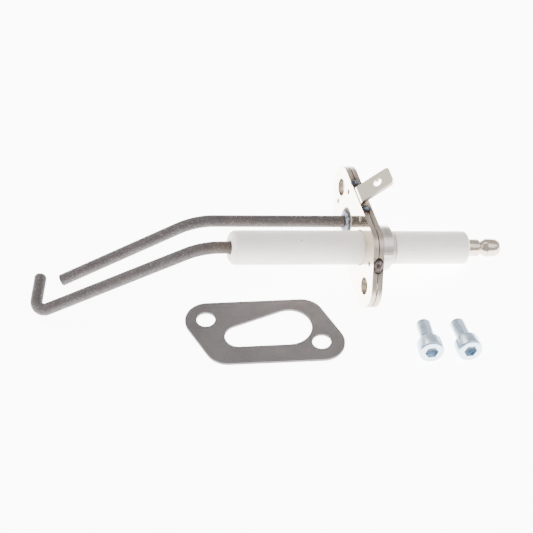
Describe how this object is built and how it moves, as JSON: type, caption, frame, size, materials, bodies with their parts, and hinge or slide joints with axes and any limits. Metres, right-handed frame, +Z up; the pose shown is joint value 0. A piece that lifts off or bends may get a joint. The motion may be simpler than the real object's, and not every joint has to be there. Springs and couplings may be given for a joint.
{
  "type": "ignition electrode",
  "caption": "Burner ignition electrode laid out with its gasket and screws: a ceramic insulator carries the high-voltage rod through a welded flange that holds an earth rod and an earth tab",
  "frame": {"origin": "the middle of the kit's footprint, on the table", "axes": "+X along the insulator towards the terminal as laid out (13 degrees off it), +Y away from the viewer, +Z up from the table"},
  "size_m": [0.159, 0.0728, 0.0321],
  "materials": {
    "alumina": "matt off-white alumina",
    "cement": "rough grey-beige cement",
    "steel_pin": "plain drawn steel",
    "nickel": "turned and nickel plated",
    "stainless": "rolled bright stainless sheet",
    "graphite": "pressed graphite",
    "rod_alloy": "oxidised heat-resistant wire",
    "weld": "weld bead with heat tint",
    "gasket_sheet": "grey compressed gasket sheet",
    "zinc": "blue-white zinc plating"
  },
  "bodies": {
    "electrode": {"insulator": "alumina", "front_cement": "cement", "rear_cement": "cement", "core_pin": "steel_pin", "terminal": "nickel", "collar": "stainless", "packing_ring": "graphite", "ignition_rod": "rod_alloy", "earth_rod": "rod_alloy", "earth_rod_weld": "weld", "front_plate": "stainless", "rear_plate": "stainless", "edge_weld_far": "weld", "edge_weld_middle": "weld", "edge_weld_near": "weld"},
    "gasket": {"gasket": "gasket_sheet"},
    "screw_left": {"screw_left": "zinc"},
    "screw_right": {"screw_right": "zinc"}
  },
  "joints": [
    {"name": "gasket_lift", "type": "slide", "parent": "electrode", "child": "gasket", "axis": [0, -0.6, 0.8], "range_m": [0, 0.06]},
    {"name": "screw_left_lift", "type": "slide", "parent": "electrode", "child": "screw_left", "axis": [0, 0, 1], "range_m": [0, 0.06]},
    {"name": "screw_right_lift", "type": "slide", "parent": "electrode", "child": "screw_right", "axis": [0, 0, 1], "range_m": [0, 0.06]}
  ]
}
